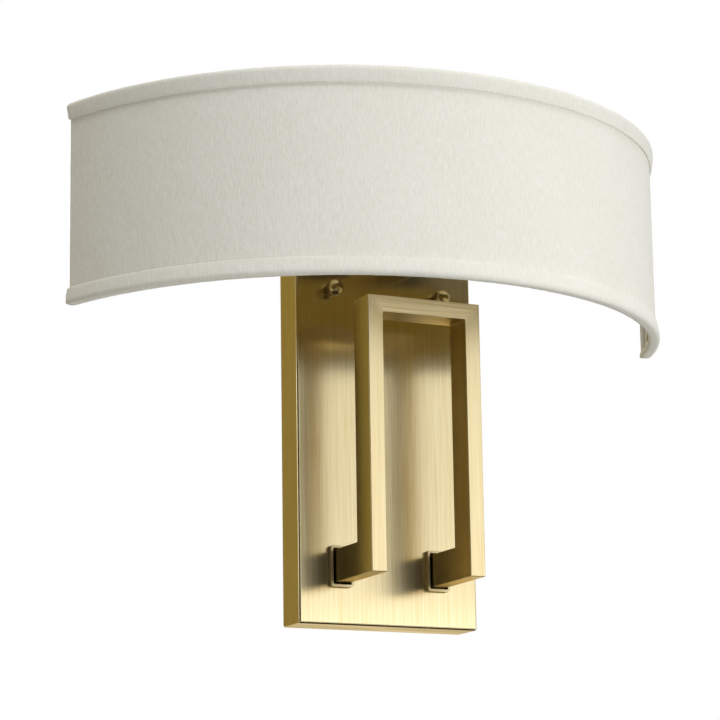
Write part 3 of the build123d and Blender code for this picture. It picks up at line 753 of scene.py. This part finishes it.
class WALLLIGHT_OT_brass(bpy.types.Operator):
    """Brushed brass on the back plate, the loop, its collars and the ball knobs"""

    bl_idname = "walllight.brass"
    bl_label = "Brushed brass"

    def execute(self, context):
        settings = context.scene.wall_light_brass
        plate = brass_finish(
            "brushed_brass", settings, settings.plate_roughness, settings.stretch
        )
        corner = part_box("tube_frame")[1]
        rail = corner[2] - corner[0]
        loop = brass_finish(
            "brushed_brass_loop",
            settings,
            settings.loop_roughness,
            settings.stretch,
            turn=0.25,
            rail=rail,
        )
        # Painted shade: the knobs take a darkened brass colour for the dark surroundings they
        # mirror
        turned = plain_finish(
            "turned_brass",
            rgb(settings.knob_shaded_colour),
            settings.loop_roughness,
            metallic=1.0,
            grain=(0.4, 6, 0.4),
            relief=0.01,
        )
        satin = brass_finish("satin_brass", settings, settings.collar_roughness, 0.0)
        wear(plate, "backplate")
        wear(satin, *both("arm_collar"))
        wear(loop, "tube_frame")
        wear(turned, *both("knob"))
        return {"FINISHED"}


class WALLLIGHT_OT_shade_inside(bpy.types.Operator):
    """Liner, rings, ribs and hanging strip of the shade"""

    bl_idname = "walllight.shade_inside"
    bl_label = "Inside of the shade"

    def execute(self, context):
        # Painted shade: the liner's dark brown stands in for the shade inside the lampshade
        colour = rgb(context.scene.wall_light_linen.liner_shaded_colour)
        liner = plain_finish("liner_sheet", colour, 0.55, grain=(3, 3, 3), relief=0.03)
        wear(liner, "shade_liner")
        coat = plain_finish(
            "white_powder_coat", (0.80, 0.79, 0.74), 0.42, grain=(0.6, 0.6, 0.6), relief=0.03
        )
        rings = ("shade_top_ring", "shade_bottom_ring", "shade_strip", *both("shade_end_rib"))
        wear(coat, *rings)
        return {"FINISHED"}


class WALLLIGHT_OT_hardware(bpy.types.Operator):
    """Zinc plated hardware, the gold lamp bracket, the green ground screw and the bushing"""

    bl_idname = "walllight.hardware"
    bl_label = "Hardware"

    def execute(self, context):
        zinc = plain_finish(
            "zinc_plate", (0.66, 0.66, 0.65), 0.38, metallic=1.0, grain=(2.5, 2.5, 2.5), relief=0.02
        )
        wear(
            zinc,
            *("wall_bracket", "studs", "stud_nuts", "frame_bracket", "frame_plugs"),
            *("frame_screws", "frame_washers", "lamp_bracket_screws", "lamp_bracket_nuts"),
            *("lampholder_nuts", "shade_posts", "shade_post_nuts"),
        )
        paint = plain_finish(
            "gold_paint", (0.22, 0.16, 0.065), 0.45, grain=(0.7, 0.7, 0.7), relief=0.03
        )
        wear(paint, "lamp_bracket")
        green = plain_finish(
            "green_plate", (0.05, 0.28, 0.10), 0.35, metallic=0.7, grain=(1, 1, 1), relief=0.02
        )
        wear(green, "ground_screw")
        nylon = plain_finish(
            "black_nylon", (0.025, 0.025, 0.026), 0.4, grain=(0.8, 0.8, 0.8), relief=0.02
        )
        wear(nylon, "wire_bushing")
        return {"FINISHED"}


class WALLLIGHT_OT_lampholders(bpy.types.Operator):
    """Moulded lampholders, and the brass shells, contacts and bulb bases in them"""

    bl_idname = "walllight.lampholders"
    bl_label = "Lampholders"

    def execute(self, context):
        moulded = plain_finish(
            "moulded_phenolic", (0.035, 0.030, 0.028), 0.33, grain=(0.7, 0.7, 0.7), relief=0.03
        )
        wear(moulded, *both("lampholder"))
        bright = plain_finish(
            "drawn_brass", (0.82, 0.62, 0.26), 0.22, metallic=1.0, grain=(4, 0.3, 0.3), relief=0.01
        )
        wear(bright, *both("lampholder_shell", "lampholder_contact", "bulb_base", "bulb_contact"))
        return {"FINISHED"}


class WALLLIGHT_OT_bulbs(bpy.types.Operator):
    """Frosted candle bulbs with stem, filament and insulator"""

    bl_idname = "walllight.bulbs"
    bl_label = "Bulbs"

    def execute(self, context):
        frosted = plain_finish(
            "frosted_glass",
            (0.95, 0.94, 0.90),
            0.38,
            grain=(0.5, 0.5, 0.5),
            relief=0.01,
            more={"Transmission Weight": 0.75, "IOR": 1.45},
        )
        wear(frosted, *both("bulb_glass"))
        clear = plain_finish(
            "clear_glass",
            (0.96, 0.98, 0.97),
            0.12,
            grain=(3, 3, 3),
            more={"Transmission Weight": 0.95, "IOR": 1.5},
        )
        wear(clear, *both("bulb_stem"))
        wire = plain_finish(
            "filament_wire", (0.35, 0.34, 0.33), 0.35, metallic=1.0, grain=(0.3, 0.3, 0.3)
        )
        wear(wire, *both("bulb_filament"))
        black = plain_finish("black_glass", (0.02, 0.02, 0.022), 0.16, grain=(1, 1, 1))
        wear(black, *both("bulb_insulator"))
        return {"FINISHED"}


# ---- Stage
CAMERA_PLACE = Vector((-0.7013, -1.4473, -0.3903))
CAMERA_AIM = Vector((-0.0058, 0, -0.0350))
CAMERA_ROLL = math.radians(-0.883)
BOX_DISTANCE = 2


def stage_sheet(name, width, height, place, facing, material):
    """A flat rectangle that isn't part of the light, facing a direction."""
    mesh = bmesh.new()
    bmesh.ops.create_grid(mesh, x_segments=1, y_segments=1, size=0.5)
    turn = Vector(facing).to_track_quat("Z", "Y").to_matrix().to_4x4()
    shape = Matrix.Translation(place) @ turn @ Matrix.Diagonal((width, height, 1, 1))
    bmesh.ops.transform(mesh, matrix=shape, verts=mesh.verts)
    data = bpy.data.meshes.new(name)
    mesh.to_mesh(data)
    mesh.free()
    data.materials.append(material)
    sheet = bpy.data.objects.new(name, data)
    bpy.context.scene.collection.objects.link(sheet)
    return sheet


def stage_finish(name, colour, glow=None):
    """A matt finish, which can also glow a little."""
    made, recipe = Recipe.material(name)
    recipe.surface(
        {
            "Base Color": (*colour, 1),
            "Roughness": 0.9,
            "Specular IOR Level": 0.1,
            "Emission Color": glow(recipe) if glow else (0, 0, 0, 1),
            "Emission Strength": 1.0 if glow else 0.0,
        }
    )
    return made


def seen_rays(recipe):
    """1 on rays that show what they meet, and 0 on those that only light."""
    rays = recipe.node("ShaderNodeLightPath")
    return rays["Is Camera Ray"].larger(rays["Is Glossy Ray"]).larger(rays["Is Transmission Ray"])


class WALLLIGHT_OT_stage(bpy.types.Operator):
    """Floor, soft boxes, three dark screens, even light and the camera"""

    bl_idname = "walllight.stage"
    bl_label = "Stage"

    def execute(self, context):
        settings = context.scene.wall_light_stage
        self.world(settings)
        glow = 0.5
        floor = stage_finish(
            "pale_floor", (0.8, 0.8, 0.79), lambda recipe: glow * seen_rays(recipe)
        )
        stage_sheet("floor", 14, 14, (0, 0, -2.3), (0, 0, 1), floor)
        # The brass mirrors the screens, so its sides and lower edges are dark
        black = stage_finish("black_screen", (0.03, 0.024, 0.009))
        brown = stage_finish("brown_screen", (0.60, 0.49, 0.17))
        front = stage_sheet("screen_front", 3.0, 3.8, (-1.35, -1.48, 0.5), (1.35, 1.48, 0), black)
        back = stage_sheet("screen_back", 2.8, 3.8, (-1.29, 1.53, 0.5), (1.29, -1.53, 0), brown)
        under = stage_sheet("screen_under", 2.2, 2.2, (0, 0, -1.3), (0, 0, 1), black)
        for screen in (front, back, under):
            screen.visible_camera = False
        under.visible_diffuse = False
        self.soft_box("low_box", settings.low_box, (1.2, 0.85), 14, -20, mirrored=False)
        self.soft_box("high_box", settings.high_box, (1.0, 1.0), -18, 64, mirrored=False)
        self.soft_box("front_box", settings.front_box, (1.5, 0.95), 27, 5)
        self.soft_box("lip_box", settings.lip_box, (1.5, 0.4), 27, -4.5)
        self.soft_box("side_strip", settings.side_strip, (0.6, 1.4), -90, 22)
        self.camera(settings)
        context.scene.view_settings.view_transform = "Standard"
        return {"FINISHED"}

    def world(self, settings):
        """An even room: white where it is seen, dimmer where it only lights."""
        world = bpy.data.worlds.new("studio")
        world.use_nodes = True
        bpy.context.scene.world = world
        recipe = Recipe(world.node_tree)
        strength = settings.fill + (1 - settings.fill) * seen_rays(recipe)
        white = (1, 1, 1, 1)
        light = recipe.node("ShaderNodeBackground", {}, {"Color": white, "Strength": strength})
        recipe.node("ShaderNodeOutputWorld", {}, {"Surface": light})

    def soft_box(self, name, radiance, size, right, up, mirrored=True):
        """A soft box, so many degrees right of the front and above the light.

        One that isn't mirrored lights the cloth, and the brass doesn't show it.
        """
        data = bpy.data.lights.new(name, "AREA")
        data.shape = "RECTANGLE"
        data.size, data.size_y = size
        data.energy = radiance * math.pi * size[0] * size[1]
        box = bpy.data.objects.new(name, data)
        bpy.context.scene.collection.objects.link(box)
        right, up = math.radians(right), math.radians(up)
        place = BOX_DISTANCE * Vector(
            (math.cos(up) * math.sin(right), -math.cos(up) * math.cos(right), math.sin(up))
        )
        box.matrix_world = (
            Matrix.Translation(place) @ place.to_track_quat("Z", "Y").to_matrix().to_4x4()
        )
        box.visible_camera = False
        box.visible_glossy = mirrored

    def camera(self, settings):
        data = bpy.data.cameras.new("camera")
        data.sensor_width = 36
        data.lens = settings.lens
        camera = bpy.data.objects.new("camera", data)
        bpy.context.scene.collection.objects.link(camera)
        view = (CAMERA_AIM - CAMERA_PLACE).to_track_quat("-Z", "Y").to_matrix().to_4x4()
        roll = Matrix.Rotation(CAMERA_ROLL, 4, "Z")
        camera.matrix_world = Matrix.Translation(CAMERA_PLACE) @ view @ roll
        bpy.context.scene.camera = camera


class WALLLIGHT_PT_panel(bpy.types.Panel):
    """Steps that dress the wall light, in their order"""

    bl_label = "Wall light"
    bl_idname = "WALLLIGHT_PT_panel"
    bl_space_type = "VIEW_3D"
    bl_region_type = "UI"
    bl_category = "Wall light"

    def draw(self, context):
        for step in STEPS:
            self.layout.operator(step.bl_idname)


STEPS = (
    WALLLIGHT_OT_stage,
    WALLLIGHT_OT_shade_cloth,
    WALLLIGHT_OT_trim_tapes,
    WALLLIGHT_OT_shade_inside,
    WALLLIGHT_OT_brass,
    WALLLIGHT_OT_hardware,
    WALLLIGHT_OT_lampholders,
    WALLLIGHT_OT_bulbs,
)
SETTINGS = {
    "wall_light_shade": ShadeSettings,
    "wall_light_linen": LinenSettings,
    "wall_light_brass": BrassSettings,
    "wall_light_stage": StageSettings,
}


def register():
    for made in (*SETTINGS.values(), *STEPS, WALLLIGHT_PT_panel):
        bpy.utils.register_class(made)
    for name, group in SETTINGS.items():
        setattr(bpy.types.Scene, name, bpy.props.PointerProperty(type=group))


def unregister():
    for name in SETTINGS:
        delattr(bpy.types.Scene, name)
    for made in (WALLLIGHT_PT_panel, *reversed(STEPS), *reversed(SETTINGS.values())):
        bpy.utils.unregister_class(made)


def main():
    register()
    for step in STEPS:
        group, name = step.bl_idname.split(".")
        getattr(getattr(bpy.ops, group), name)()


if __name__ == "__main__":
    main()
